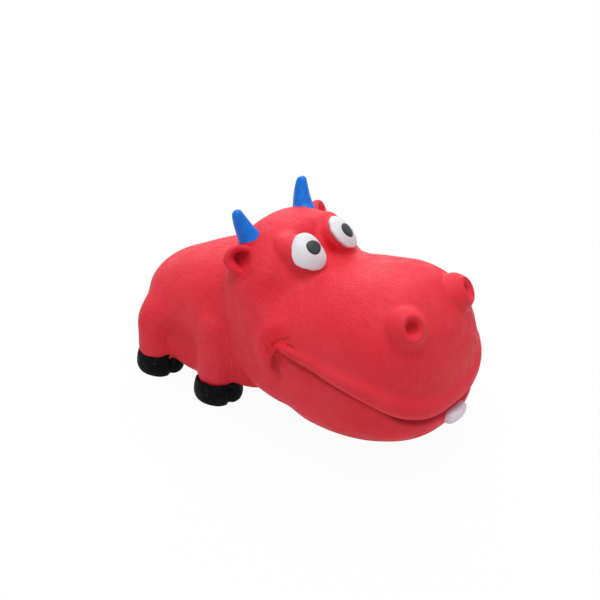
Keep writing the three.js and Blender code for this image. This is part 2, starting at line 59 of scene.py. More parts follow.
# Rings of the moulded forms, rear to front: place, half width, underside, top, widest level
TRUNK_RINGS = [
    (-86.6, 0, 30.5, 30.5, 30.5),
    (-85.2, 11.5, 22, 39.4, 30.5),
    (-82, 20.5, 16, 43.8, 30.5),
    (-75.5, 28.6, 9, 47, 31),
    (-62, 34, 4.5, 54.4, 31),
    (-44, 36.5, 2.2, 62.9, 31),
    (-24, 35.5, 5, 68, 32),
    (-4, 29, 8, 67, 34),
    (8, 0, 32, 32, 32),
]
HEAD_RINGS = [
    (-36, 0, 44, 44, 44),
    (-32, 20, 22, 69, 43),
    (-21, 33, 12, 84.3, 40),
    (-4, 39, 9, 86.6, 37.5),
    (5, 39.4, 6.5, 79.4, 36),
    (14, 40, 4.6, 72.8, 35),
    (31, 40, 3.2, 75.9, 35),
    (48, 40.5, 6, 79.3, 36),
    (63, 37.7, 9, 76.6, 35),
    (74, 29.2, 13, 65.4, 34),
    (80, 15.7, 20, 48.2, 33),
    (82, 0, 33, 33, 33),
]
JAW_RINGS = [
    (2, 0, 26, 26, 26),
    (6, 28, 12.2, 62, 28),
    (18, 38.6, 3.4, 80, 29),
    (34, 39, 0, 76, 30),
    (50, 37.2, 0.6, 66, 34),
    (64, 32, 4.8, 52, 33),
    (74, 26, 10.8, 42, 29),
    (80, 15.5, 17, 34, 26),
    (82, 0, 24.5, 24.5, 24.5),
]
# Squareness of the upper and the lower half of the rings: 2 is an ellipse
TRUNK_ROUNDNESS = (2.2, 4.8)
HEAD_ROUNDNESS = (2.4, 3.0)
JAW_ROUNDNESS = (2.4, 2.5)

# Mouth line from the corner of the mouth to the front, as place and height
MOUTH_LINE = [(14, 45.4), (40, 42.7), (60, 38.6), (72, 31.9), (84, 23), (100, 12)]
LIP_RADIUS = (4.6, 5.8)  # of the lip roll, outwards and upwards
LIP_PROUD = 2.2
LIP_RISE = (1.6, 5.3)  # from the mouth line, at the corner of the mouth and at the front
LIP_LEAST = 0.3  # share of its size that the lip has at the corners of the mouth
LIP_TAPER = 0.3  # share of the mouth line over which the lip thins towards a corner
LIP_END = 0.03  # share of the mouth line over which the lip's ends are rounded
SEAM_RISE = 3  # of the seam between head and jaw above the mouth line, behind the lip
# Crease under the lip: place, and how far it is below the mouth line
LIP_CREASE_DROP = [
    (14, 1.2), (36, 1.5), (52, 2.3), (60, 2.8),
    (66, 3.1), (72, 3.1), (78, 1.8), (82, 0.4),
]
LIP_CREASE_FRONT = 81.9

# Legs: height and radius from the hoof to the hip
LEG_PLACES = {"front": -27.3, "rear": -65.3}
LEG_SPREAD = 32
LEG_LEAN = 4.5  # inwards, from the ankle to the hip
ANKLE = 10.8
LEG_LENGTH = 35
LEG_PROFILE = [
    (4, 0), (4.2, 8.6), (8, 9.2), (11, 10.2), (18, 10.6),
    (32, 11.4), (41, 9.8), (45, 5), (46.5, 0),
]
HIP_TOP = {"front": 46.5, "rear": 38.5}
KNEE = 20

EYE_CENTRE = (8.7, 11.5, 77.6)
EYE_AIM = (0.62, 0.42, 0.66)
EYE_RADIUS = 9.6
EYE_DEPTH = 5.8
EYELID_CENTRE = (1.4, 14.4, 80.1)
EYELID_RADIUS = 7.4
EYELID_DEPTH = 6.2

NOSTRIL_PLACE = (67.3, 18.2, 67.2)
NOSTRIL_AIM = (0.82, 0.25, 0.5)
NOSTRIL_RADIUS = 9.4
NOSTRIL_HEIGHT = 7.4
NOSTRIL_GAZE = (0.745, 0.39, 0.54)

SQUEAKER_PLACE = -46
POCKET_RADIUS = 12.2
POCKET_TOP = 6.7

VOXEL = 1.0  # of the fused skin
TINY = 1e-9


# Shaping: a ball is added, and its points are moved

def select_only(piece):
    bpy.ops.object.select_all(action="DESELECT")
    piece.select_set(True)
    bpy.context.view_layer.objects.active = piece


def places_of(piece):
    places = np.empty(len(piece.data.vertices) * 3)
    piece.data.vertices.foreach_get("co", places)
    return places.reshape(-1, 3)


def move_to(piece, places):
    piece.data.vertices.foreach_set("co", (np.asarray(places) * MM).ravel())
    piece.data.update()


def shaped_ball(name, segments, rings, place):
    """A ball whose points go to place(share, turn): share runs from pole to pole, turn goes round."""
    bpy.ops.object.select_all(action="DESELECT")
    bpy.ops.mesh.primitive_uv_sphere_add(segments=segments, ring_count=rings, radius=1)
    piece = bpy.context.object
    piece.name = piece.data.name = name
    ball = places_of(piece)
    share = np.arccos(np.clip(-ball[:, 2], -1, 1)) / math.pi
    turn = np.arctan2(ball[:, 1], ball[:, 0])
    move_to(piece, place(share, turn))
    return piece


def apply_modifier(piece, kind, **settings):
    select_only(piece)
    modifier = piece.modifiers.new(kind.title(), kind)
    for key, value in settings.items():
        setattr(modifier, key, value)
    bpy.ops.object.modifier_apply(modifier=modifier.name)


def joined(name, pieces):
    bpy.ops.object.select_all(action="DESELECT")
    for piece in pieces:
        piece.select_set(True)
    bpy.context.view_layer.objects.active = pieces[0]
    bpy.ops.object.join()
    pieces[0].name = pieces[0].data.name = name
    return pieces[0]


def unit(vector):
    vector = np.asarray(vector, float)
    return vector / np.linalg.norm(vector)


def on_side(vector, side):
    return np.array([vector[0], SIDES[side] * vector[1], vector[2]], float)


def smooth_table(table, share):
    """Rows of a table, joined by a smooth curve: share 0 is the first row and share 1 the last."""
    rows = np.array(table, float)
    rows = np.vstack([2 * rows[0] - rows[1], rows, 2 * rows[-1] - rows[-2]])
    place = np.clip(share, 0, 1) * (len(table) - 1)
    first = np.minimum(place.astype(int), len(table) - 2)
    t = (place - first)[:, None]
    before, start, end, after = (rows[first + k] for k in range(4))
    leaving, arriving = (end - before) / 2, (after - start) / 2
    from_start = (2 * t**3 - 3 * t**2 + 1) * start + (t**3 - 2 * t**2 + t) * leaving
    return from_start + (3 * t**2 - 2 * t**3) * end + (t**3 - t**2) * arriving


def ring_body(name, table, roundness, segments=80, rings=72):
    """A closed form through oval rings."""
    def place(share, turn):
        x, half, bottom, top, level = smooth_table(table, share).T
        power = 2 / np.where(np.sin(turn) > 0, *roundness)
        across = np.sign(np.cos(turn)) * np.abs(np.cos(turn)) ** power
        upward = np.sign(np.sin(turn)) * np.abs(np.sin(turn)) ** power
        height = np.where(upward > 0, top - level, level - bottom)
        return np.column_stack([x, half * across, level + height * upward])
    return shaped_ball(name, segments, rings, place)


def half_width(table, roundness, x, z):
    """Half the width of a ring form at a place and a height."""
    rows = smooth_table(table, np.linspace(0, 1, 2001))
    half, bottom, top, level = (np.interp(x, rows[:, 0], rows[:, k]) for k in range(1, 5))
    above = z > level
    height = np.where(above, top - level, level - bottom)
    rise = np.abs(z - level) / np.where(height == 0, TINY, height)
    power = np.where(above, *roundness)
    return half * np.clip(1 - np.clip(rise, 0, 1) ** power, 0, 1) ** (1 / power)


def ellipsoid(name, centre, aim, radius, depth, segments=40, rings=28):
    """A flattened ball whose short axis points along aim."""
    aim = unit(aim)
    side = unit(np.cross((0, 0, 1), aim))
    upward = np.cross(aim, side)

    def place(share, turn):
        out = radius * np.sin(share * math.pi)
        return (np.asarray(centre) - np.outer(depth * np.cos(share * math.pi), aim)
                + np.outer(out * np.cos(turn), side) + np.outer(out * np.sin(turn), upward))
    return shaped_ball(name, segments, rings, place)


# Camera

azimuth, elevation = math.radians(CAMERA_AZIMUTH), math.radians(CAMERA_ELEVATION)
backward = Vector((
    math.sin(azimuth) * math.cos(elevation),
    -math.cos(azimuth) * math.cos(elevation),
    math.sin(elevation),
))
bpy.ops.object.camera_add()
camera = bpy.context.object
camera.location = (Vector(CAMERA_TARGET) + backward * CAMERA_DISTANCE) * MM
camera.rotation_euler = (-backward).to_track_quat("-Z", "Y").to_euler()
camera.data.lens = CAMERA_LENS
camera.data.sensor_width = 36
camera.data.clip_start = 0.01
bpy.context.scene.camera = camera

# Forms that are fused into the skin

def mouth_height(x):
    line = smooth_table(MOUTH_LINE, np.linspace(0, 1, 501))
    return np.interp(x, line[:, 0], line[:, 1])


BLOCK_HALF_WIDTH = 60
BLOCK_HEIGHT = 80


def mouth_block(name):
    """Everything below the seam and in front of the corners of the mouth."""
    bpy.ops.object.select_all(action="DESELECT")
    bpy.ops.mesh.primitive_grid_add(x_subdivisions=60, y_subdivisions=1, size=2)
    block = bpy.context.object
    block.name = name
    flat = places_of(block)
    line = smooth_table(MOUTH_LINE, (flat[:, 0] + 1) / 2)
    move_to(block, np.column_stack([line[:, 0], BLOCK_HALF_WIDTH * flat[:, 1], line[:, 1] + SEAM_RISE]))
    bpy.ops.object.mode_set(mode="EDIT")
    bpy.ops.mesh.select_all(action="SELECT")
    bpy.ops.mesh.extrude_region_move(TRANSFORM_OT_translate={"value": (0, 0, -BLOCK_HEIGHT * MM)})
    bpy.ops.mesh.select_all(action="SELECT")
    bpy.ops.mesh.normals_make_consistent(inside=False)
    bpy.ops.object.mode_set(mode="OBJECT")
    return block


def lip_path():
    """Mouth line on the skin, from the right corner round the front to the left corner."""
    x = np.linspace(60, 82, 800)
    front = x[half_width(HEAD_RINGS, HEAD_ROUNDNESS, x, mouth_height(x)) > 0.2].max()
    start = MOUTH_LINE[0][0] - 1
    x = front - (front - start) * (1 - np.linspace(0, 1, 200)) ** 2
    z = mouth_height(x)
    y = half_width(HEAD_RINGS, HEAD_ROUNDNESS, x, z)
    right = np.column_stack([x, -y, z])
    left = right[::-1] * (1, -1, 1)
    path = np.vstack([right, left])
    steps = np.linalg.norm(np.diff(path, axis=0), axis=1)
    length = np.concatenate([[0], np.cumsum(steps)])
    even = np.linspace(0, length[-1], 200)
    return np.column_stack([np.interp(even, length, path[:, k]) for k in range(3)])


LIP_PATH = lip_path()


def lip_outward():
    """Level direction away from the head at each point of the mouth line."""
    tangent = np.gradient(LIP_PATH, axis=0)
    outward = np.column_stack([tangent[:, 1], -tangent[:, 0], np.zeros(len(tangent))])
    return outward / np.linalg.norm(outward, axis=1)[:, None]


def lip_form(name):
    """The lip: an oval tube along the mouth line, thinner towards the corners of the mouth."""
    outward = lip_outward()
    shares = np.linspace(0, 1, len(LIP_PATH))
    growth = np.clip(np.minimum(shares, 1 - shares) / LIP_TAPER, 0, 1)
    size = LIP_LEAST + (1 - LIP_LEAST) * growth
    across, upward = LIP_RADIUS[0] * size, LIP_RADIUS[1] * size
    centre = LIP_PATH + outward * (LIP_PROUD * size - across)[:, None]
    centre[:, 2] += np.interp(growth, (0, 1), LIP_RISE)

    def place(share, turn):
        def here(values):
            columns = np.atleast_2d(values.T)
            return np.column_stack([np.interp(share, shares, column) for column in columns])
        end = np.clip(np.minimum(share, 1 - share) / LIP_END, 0, 1)
        rounding = np.sqrt(1 - (1 - end) ** 2)
        points = here(centre) + here(outward) * here(across) * (rounding * np.cos(turn))[:, None]
        points[:, 2] += here(upward)[:, 0] * rounding * np.sin(turn)
        return points
    return shaped_ball(name, 24, 180, place)


def lip_crease():
    """Line on the jaw right under the lip, from the right corner round the front to the left corner."""
    x = LIP_CREASE_FRONT - (LIP_CREASE_FRONT - CORNER[0]) * np.linspace(1, 0, 40) ** 2
    z = mouth_height(x) - np.interp(x, *np.transpose(LIP_CREASE_DROP))
    right = np.column_stack([x, -half_width(JAW_RINGS, JAW_ROUNDNESS, x, z), z])
    return np.concatenate([right, right[::-1] * (1, -1, 1)])


def eye_axes(side):
    """The way that an eye looks, and its upward and outside directions."""
    aim = unit(on_side(EYE_AIM, side))
    upward = unit(np.array((0, 0, 1)) - aim[2] * aim)
    return aim, upward, SIDES[side] * np.cross(upward, aim)


def leg_form(name, end, side):
    x = LEG_PLACES[end]
    stretch = (HIP_TOP[end] - KNEE) / (LEG_PROFILE[-1][0] - KNEE)

    def place(share, turn):
        z, radius = smooth_table(LEG_PROFILE, share).T
        z = np.where(z > KNEE, KNEE + (z - KNEE) * stretch, z)
        lean = LEG_LEAN * np.clip((z - ANKLE) / LEG_LENGTH, 0, 1)
        y = SIDES[side] * (LEG_SPREAD - lean)
        return np.column_stack([x + radius * np.cos(turn), y + radius * np.sin(turn), z])
    return shaped_ball(name, 40, 40, place)


PAINT_ROOM = 0.3  # that the moulded eye leaves for its paint
POCKET_DEPTH = 40


def fused_skin():
    """Trunk with the squeaker's pocket, head, jaw, lip, legs, eyes, eyelids and nostrils as one skin."""
    trunk = ring_body("trunk_form", TRUNK_RINGS, TRUNK_ROUNDNESS)
    bpy.ops.object.select_all(action="DESELECT")
    bpy.ops.mesh.primitive_cylinder_add(
        vertices=64, radius=POCKET_RADIUS * MM, depth=POCKET_DEPTH * MM,
        location=(SQUEAKER_PLACE * MM, 0, (POCKET_TOP - POCKET_DEPTH / 2) * MM))
    pocket = bpy.context.object
    apply_modifier(trunk, "BOOLEAN", operation="DIFFERENCE", object=pocket)

    head = ring_body("head_form", HEAD_RINGS, HEAD_ROUNDNESS)
    jaw = ring_body("jaw_form", JAW_RINGS, JAW_ROUNDNESS)
    block = mouth_block("mouth_block")
    apply_modifier(head, "BOOLEAN", operation="DIFFERENCE", object=block)
    apply_modifier(jaw, "BOOLEAN", operation="INTERSECT", object=block)
    for tool in (pocket, block):
        bpy.data.objects.remove(tool)

    lip = lip_form("lip_form")
    forms = [trunk, head, jaw, lip]
    for side in SIDES:
        for end in LEG_PLACES:
            forms.append(leg_form("leg_form", end, side))
        eye, aim = on_side(EYE_CENTRE, side), unit(on_side(EYE_AIM, side))
        forms.append(ellipsoid("eye_form", eye, aim, EYE_RADIUS - PAINT_ROOM, EYE_DEPTH - PAINT_ROOM))
        lid = on_side(EYELID_CENTRE, side)
        forms.append(ellipsoid("lid_form", lid, aim, EYELID_RADIUS, EYELID_DEPTH))
        nostril, out = on_side(NOSTRIL_PLACE, side), on_side(NOSTRIL_AIM, side)
        forms.append(ellipsoid("nostril_form", nostril, out, NOSTRIL_RADIUS, NOSTRIL_HEIGHT))
    skin = joined("latex_skin", forms)
    apply_modifier(skin, "REMESH", mode="VOXEL", voxel_size=VOXEL * MM)
    return skin


# Sculpting of the fused skin

def edges_of(piece):
    edges = np.empty(len(piece.data.edges) * 2, int)
    piece.data.edges.foreach_get("vertices", edges)
    return edges.reshape(-1, 2)


def relaxed(points, edges, weight, rounds):
    """Points drawn towards the mean of their neighbours, as with a smoothing brush."""
    ends = np.concatenate([edges[:, 0], edges[:, 1]])
    others = np.concatenate([edges[:, 1], edges[:, 0]])
    count = np.bincount(ends, minlength=len(points))[:, None]
    for _ in range(rounds):
        total = np.column_stack([
            np.bincount(ends, points[others, k], len(points)) for k in range(3)])
        points = points + weight[:, None] * 0.5 * (total / count - points)
    return points


def fading(value, full, none):
    """1 at full, falling smoothly to 0 at none."""
    t = np.clip((value - none) / (full - none), 0, 1)
    return t * t * (3 - 2 * t)


def distance_to_line(points, line):
    """Distance of each point to a line through several points, and the share along it."""
    line = np.asarray(line, float)
    nearest = np.full(len(points), np.inf)
    share = np.zeros(len(points))
    for k, (start, end) in enumerate(zip(line[:-1], line[1:])):
        step = end - start
        t = np.clip((points - start) @ step / (step @ step), 0, 1)
        distance = np.linalg.norm(points - start - t[:, None] * step, axis=1)
        closer = distance < nearest
        nearest[closer] = distance[closer]
        share[closer] = (k + t[closer]) / (len(line) - 1)
    return nearest, share


def on_cheek(line, side):
    """Points given as place and height, laid on the side of the head."""
    x, z = np.array(line, float).T
    y = half_width(HEAD_RINGS, HEAD_ROUNDNESS, x, z)
    return np.column_stack([x, SIDES[side] * y, z])


CORNER = (15, 45)  # of the mouth, as place and height
# Folds at the corner of the mouth, as place and height on the side of the head
CORNER_RIDGE = [(19, 57), (12.5, 55.5), (8.2, 52), (6.1, 47), (6, 41.5), (8.5, 36.5), (13, 32.5)]
CORNER_CREASE = [(16, 43.4), (14.9, 40.6), (14, 38.6), (13.9, 36.4), (14.9, 34), (15.6, 32.6)]
CORNER_WRINKLES = [
    [(12.1, 46.8), (14.7, 49.8), (17.7, 51.4), (20.3, 52.8)],
    [(10, 41.3), (11.5, 42.9), (13, 45), (12.5, 47.5)],
    [(9.4, 46), (10.7, 44.7), (10, 42.9)],
    [(20.3, 49.6), (22.8, 50.1), (24.5, 48.9)],
    [(19.8, 45.9), (21.8, 46.2), (24.1, 47)],
    [(15.7, 43.5), (16, 45), (15.1, 46.5)],
]
# Hollows pressed into each side: middle, radius and depth
DENTS = [
    ((15, 25, 67), 16, 0.6),  # in front of the eye
    ((8, 31, 65), 12, 1.7),  # below the eye
    ((-14.5, 26, 73), 7, 2.5),  # inside the ear
    ((-46.5, 38, 23), 14.5, 4.2),  # between the legs
    ((-12, 36, 17), 10, 2.4),  # behind the cheek
    ((-28, 37, 42), 10, -1.3),  # the shoulder, which stands out
]
UNDER_EYE = (14.8, 13.5, 70)
EYELID_CREASE = [
    (-5.4, 16.1, 84.5), (-4.2, 18.8, 83), (-1, 20.8, 80.5), (2.9, 21, 77.4), (5.5, 20.2, 75.8),
]
EAR_CREASE = [(-6.6, 29.2, 73.6), (-7.4, 30.6, 71.6), (-8.6, 31.8, 69), (-11.3, 33.1, 65)]
SHOULDER_CREASE = [(-33.5, 37.4, 37.3), (-29, 38.6, 39.6), (-24.5, 37.6, 41)]
# Creases that fade out at both ends: line, depth and width
FADING_CREASES = [
    (EYELID_CREASE, 0.7, 1.6),
    (EAR_CREASE, 1.2, 1.3),
    (SHOULDER_CREASE, 0.9, 1.0),
]
RIDGE_HEIGHT = 1.7  # of the fold round the corner of the mouth
RIDGE_WIDTH = 3.4
MOAT_DEPTH = 0.35  # of the groove round the eye
MOAT_WIDTH = 1.6
CRUMPLE_HEIGHT = 0.16  # of the uneven skin at the corner of the mouth


def normals_of(piece):
    normals = np.empty(len(piece.data.vertices) * 3)
    piece.data.vertices.foreach_get("normal", normals)
    return normals.reshape(-1, 3)


def refine(piece, chosen):
    """Splits the faces whose middles are chosen into four."""
    middles = np.empty(len(piece.data.polygons) * 3)
    piece.data.polygons.foreach_get("center", middles)
    picked = chosen(middles.reshape(-1, 3) / MM)
    select_only(piece)
    bpy.ops.object.mode_set(mode="EDIT")
    bpy.ops.mesh.select_mode(type="FACE")
    bpy.ops.mesh.select_all(action="DESELECT")
    bpy.ops.object.mode_set(mode="OBJECT")
    piece.data.polygons.foreach_set("select", picked)
    bpy.ops.object.mode_set(mode="EDIT")
    bpy.ops.mesh.subdivide(number_cuts=1)
    bpy.ops.object.mode_set(mode="OBJECT")


def nearest_of(points, centre):
    """Distance to a place and to its twin on the other side."""
    return np.minimum(*(np.linalg.norm(points - on_side(centre, side), axis=1) for side in SIDES))


def from_lip(points, drop=0.0):
    return distance_to_line(points, LIP_PATH[::4] - (0, 0, drop))[0]


def from_corner(points):
    return np.minimum(*(np.linalg.norm(points - on_cheek([CORNER], side)[0], axis=1) for side in SIDES))


def smoothed_forms(piece):
    """Softens the joins of the forms, least at the lip and the nostrils."""
    edges = edges_of(piece)
    points = places_of(piece) / MM
    soft = np.minimum(fading(from_lip(points), 7, 3), fading(nearest_of(points, NOSTRIL_PLACE), 14, 11))
    points = relaxed(points, edges, soft * 0.75 + 0.25, 6)
    x, y, z = points.T
    step = fading(np.abs(x - 16), 5, 12) * fading(z, 32, 42) * fading(z, 58, 66)
    points = relaxed(points, edges, step, 80)
    neck = fading(np.abs(x + 30), 5, 14) * fading(z, 14, 30)
    hips = fading(x, -48, -38) * fading(z, 34, 22) * fading(np.abs(y), 26, 18)
    lids = fading(nearest_of(points, EYELID_CENTRE), 8, 12) * fading(x, 3, 7) * 0.3
    lids = np.maximum(lids, fading(nearest_of(points, UNDER_EYE), 4, 9) * 0.55)
    points = relaxed(points, edges, np.maximum(np.maximum(neck, hips), lids), 90)
    move_to(piece, points)


def raised_folds(piece):
    """Fold round the corner of the mouth, and the hollows."""
    points = places_of(piece) / MM
    push = np.zeros(len(points))
    for side in SIDES:
        distance, share = distance_to_line(points, on_cheek(CORNER_RIDGE, side))
        ends = np.clip(4 * np.minimum(share, 1 - share), 0, 1)
        push += RIDGE_HEIGHT * ends * np.exp(-(distance / RIDGE_WIDTH) ** 2)
        for centre, radius, height in DENTS:
            distance = np.linalg.norm(points - on_side(centre, side), axis=1) / radius
            push -= height * np.clip(1 - distance**2, 0, 1) ** 2
        aim, upward, outside = eye_axes(side)
        offset = points - on_side(EYE_CENTRE, side)
        reach = np.hypot(offset @ outside, offset @ upward)
        moat = np.exp(-((reach - EYE_RADIUS - 1) / MOAT_WIDTH) ** 2) * (np.abs(offset @ aim) < 6)
        push -= MOAT_DEPTH * moat
    move_to(piece, points + normals_of(piece) * push[:, None])


def cut_creases(piece):
    """Creases of lip, mouth corners, eyelids, ears and shoulders; gives back how dark they are."""
    points = places_of(piece) / MM
    distance, share = distance_to_line(points, lip_crease())
    growth = np.clip(np.minimum(share, 1 - share) / 0.2, 0, 1)
    push = -(0.7 + 1.5 * growth) * np.exp(-(distance / 1.0) ** 2)
    front = fading(np.abs(share - 0.5), 0.05, 0.2)
    shade = (0.25 + 0.65 * growth - 0.45 * front) * np.exp(-(distance / 1.9) ** 2)
    for side in SIDES:
        distance, share = distance_to_line(points, on_cheek(CORNER_CREASE, side))
        push -= (3.6 - 1.6 * share) * np.exp(-(distance / 1.6) ** 2)
        shade = np.maximum(shade, (1 - 0.4 * share) * np.exp(-(distance / 2.1) ** 2))
        for wrinkle in CORNER_WRINKLES:
            distance, _ = distance_to_line(points, on_cheek(wrinkle, side))
            push -= 0.6 * np.exp(-(distance / 0.6) ** 2)
            shade = np.maximum(shade, 0.25 * np.exp(-(distance / 0.7) ** 2))
        for line, depth, width in FADING_CREASES:
            distance, share = distance_to_line(points, np.array(line) * (1, SIDES[side], 1))
            ends = np.sin(np.clip(share, 0.05, 0.95) * math.pi)
            push -= depth * ends * np.exp(-(distance / width) ** 2)
    x, _, z = points.T
    crumple = np.sin(3.1 * x + 1.2 * z) * np.sin(2.3 * z - 1.4 * x) + 0.6 * np.sin(4.4 * x - 2.1 * z + 1)
    push += CRUMPLE_HEIGHT * crumple * fading(from_corner(points), 3, 9)
    move_to(piece, points + normals_of(piece) * push[:, None])
    return shade


def nostril_hollow(points, side):
    """How deep the nostril is at each point, how far inside its hole, and the way that it points."""
    gaze = unit(on_side(NOSTRIL_GAZE, side))
    mouth = on_side(NOSTRIL_PLACE, side) + gaze * NOSTRIL_HEIGHT
    sideways = -SIDES[side] * unit(np.cross((0, 0, 1), gaze))
    upright = np.cross(gaze, sideways) * -SIDES[side]
    offset = points - mouth
    across, rise = offset @ sideways - 0.2, offset @ upright + 0.4
    reach = np.hypot(across / 4.5, rise / 5.0)
    hole = np.clip(1 - np.hypot(across / 3.4, (rise - 0.4) / 3.6) ** 2, 0, 1)
    near = np.abs(offset @ gaze) < 8
    rim = np.exp(-((reach - 1.15) / 0.2) ** 2)
    depth = 2.0 * np.clip(1 - reach**2, 0, 1) + 3.2 * hole**1.2 - 0.5 * rim
    return near * depth, near * hole, gaze


def sculpt(piece):
    """All sculpting of the fused skin, with finer faces where the detail is small."""
    smoothed_forms(piece)
    refine(piece, lambda middles: (
        (from_lip(middles) < 4.5) | (from_corner(middles) < 13)
        | (nearest_of(middles, NOSTRIL_PLACE) < 12.5) | (nearest_of(middles, EYELID_CENTRE) < 10)))
    refine(piece, lambda middles: from_corner(middles) < 10)
    edges = edges_of(piece)
    points = places_of(piece) / MM
    points = relaxed(points, edges, np.full(len(points), 0.6), 3)
    rounded = fading(from_lip(points, 3.6), 1, 3)
    move_to(piece, relaxed(points, edges, rounded, 10))
    raised_folds(piece)
    shade = cut_creases(piece)
    points = places_of(piece) / MM
    for side in SIDES:
        depth, hole, gaze = nostril_hollow(points, side)
        shade = np.maximum(shade, 0.2 * fading(hole, 0.6, 0.05))
        points = points - np.outer(depth, gaze)
    points = relaxed(points, edges, np.ones(len(points)), 1)
    move_to(piece, points)
    store(piece, "shade", shade)


def store(piece, name, values):
    """Keeps a value for each point of a piece, for its material to read."""
    layer = piece.data.attributes.new(name, "FLOAT", "POINT")
    layer.data.foreach_set("value", np.asarray(values, np.float32))


def map_hair(piece):
    """Where the skin has hair lines, and which way they run."""
    points = places_of(piece) / MM
    x, y, z = points.T
    above_mouth = z - mouth_height(np.clip(x, 15, 100))
    hair = np.where(x > 15, fading(above_mouth, 14, 9), 1.0)
    for side in SIDES:
        for centre, radius in (
            (on_side(NOSTRIL_PLACE, side), NOSTRIL_RADIUS),
            (on_side(EYELID_CENTRE, side), EYELID_RADIUS + 2),
            (on_cheek([(15, 47)], side)[0], 11),
        ):
            hair *= fading(np.linalg.norm(points - centre, axis=1), radius * 1.25, radius * 0.95)
    hair *= fading(z, 12, 4)
    leg = np.zeros(len(points))
    for place in LEG_PLACES.values():
        reach = np.hypot(x - place, np.abs(y) - LEG_SPREAD + 3)
        leg = np.maximum(leg, fading(reach, 11, 16) * fading(z, 24, 36))
    store(piece, "hair", hair)
    store(piece, "front", fading(x, 72, 50))
    store(piece, "leg", leg)
    store(piece, "head", fading(x, -8, -30))
    fold = np.zeros(len(points))
    for side in SIDES:
        centre = on_cheek([(13, 49)], side)[0]
        fold = np.maximum(fold, fading(np.linalg.norm(points - centre, axis=1), 3, 11))
    store(piece, "fold", fold)


# Painted and moulded pieces

def outwards(piece):
    """Turns all faces of a closed piece outwards and shades it smooth."""
    select_only(piece)
    bpy.ops.object.mode_set(mode="EDIT")
    bpy.ops.mesh.select_all(action="SELECT")
    bpy.ops.mesh.normals_make_consistent(inside=False)
    bpy.ops.object.mode_set(mode="OBJECT")
    bpy.ops.object.shade_smooth()
    return piece


HORN_SEAT = (-16.3, 18.3, 79.1)
HORN_LEAN = (-0.31, 0.26, 0.914)
HORN_LENGTH = 17.2
PAINT_EDGE = {"right": 2.6, "left": 2.2}  # height of the blue above the seat
PAINT_SLANT = {"right": 0.1, "left": 1.1}  # how far the edge of the blue falls to the front
HORN_BOW = 0.9  # how far the horn's middle bows backwards
# Share of the horn's length, and radius
HORN_PROFILE = [
    (-0.2, 0), (-0.19, 4.6), (0.04, 5.5), (0.28, 4.5),
    (0.55, 3.6), (0.8, 2.75), (0.94, 1.9), (1.0, 0),
]


def horn(name, side):
    """A bowed cone whose root sits in the head, with the height of each point above the blue's edge."""
    seat, lean = on_side(HORN_SEAT, side), unit(on_side(HORN_LEAN, side))
    sideways = unit(np.cross(lean, (1, 0, 0)))
    forward = np.cross(sideways, lean)
    paint = []

    def place(share, turn):
        rise, radius = smooth_table(HORN_PROFILE, share).T
        radius = np.maximum(radius, 0)
        bow = -HORN_BOW * 4 * rise * (1 - rise)
        ahead = radius * np.cos(turn) + bow
        edge = PAINT_EDGE[side] - PAINT_SLANT[side] * np.cos(turn)
        edge += 0.3 * np.sin(3 * turn + SIDES[side]) + 0.15 * np.sin(7 * turn)
        paint.append(rise * HORN_LENGTH - edge)
        return (seat + np.outer(rise * HORN_LENGTH, lean) + np.outer(ahead, forward)
                + np.outer(radius * np.sin(turn), sideways))
    piece = outwards(shaped_ball(name, 64, 72, place))
    store(piece, "paint", paint[0])
    return piece


EAR_SEAT = (-18, 26.62, 70.83)
EAR_OUT = (0, 0.859, 0.5119)
EAR_CENTRE = (-15.6, 28.4, 74.7)
EAR_OPENING = (0.74, 0.52, 0.36)
EAR_SIZE = (6.8, 6.6)  # half its width and half its height
# From the back of the ear over its rim into the hollow: reach, depth and share of the hollow's own form
EAR_PROFILE = [
    (0, -7.5, 0), (0.45, -7, 0), (0.85, -4, 0), (1.0, -0.8, 0), (0.97, 0.8, 0), (0.84, 1.6, 0.1),
    (0.68, 1.2, 0.4), (0.57, -0.5, 0.8), (0.49, -2.6, 1), (0.32, -4.6, 1), (0, -5.4, 1),
]
EAR_HOLLOW = (0.25, -2.9, 0.3)  # its lengthening, its place towards the head, and its slant
EAR_LOBE = 1.18  # how much longer the ear is below its middle
EAR_CURL = 1.2
EAR_SHADE = 0.5


def ear(name, side):
    """A round cup whose rim is curled at its outside."""
    centre, opening = on_side(EAR_CENTRE, side), unit(on_side(EAR_OPENING, side))
    upward = unit(np.array((0, 0, 1)) - opening[2] * opening)
    outside = SIDES[side] * np.cross(upward, opening)
    shade = []

    def place(share, turn):
        reach, depth, hollow = smooth_table(EAR_PROFILE, share).T
        reach = np.maximum(reach, 0)
        along, rise = EAR_SIZE[0] * reach * np.cos(turn), EAR_SIZE[1] * reach * np.sin(turn)
        rise = rise * np.where(rise < 0, EAR_LOBE, 1)
        curl = EAR_CURL * fading(along, 6, 1) * reach
        along = along * np.where(along < 0, 1.4, 1) - 1.3 * fading(rise, -6, 0.6)
        longer, shift, slant = EAR_HOLLOW
        along = along * (1 + longer * hollow * (along > 0)) + shift * hollow
        rise = rise + slant * hollow * along
        shade.append(fading(depth, -3, -0.5) * (share > 0.5))
        return (centre + np.outer(along, outside) + np.outer(rise, upward)
                + np.outer(depth + curl, opening))
    piece = outwards(shaped_ball(name, 64, 48, place))
    store(piece, "shade", EAR_SHADE * shade[0])
    return piece


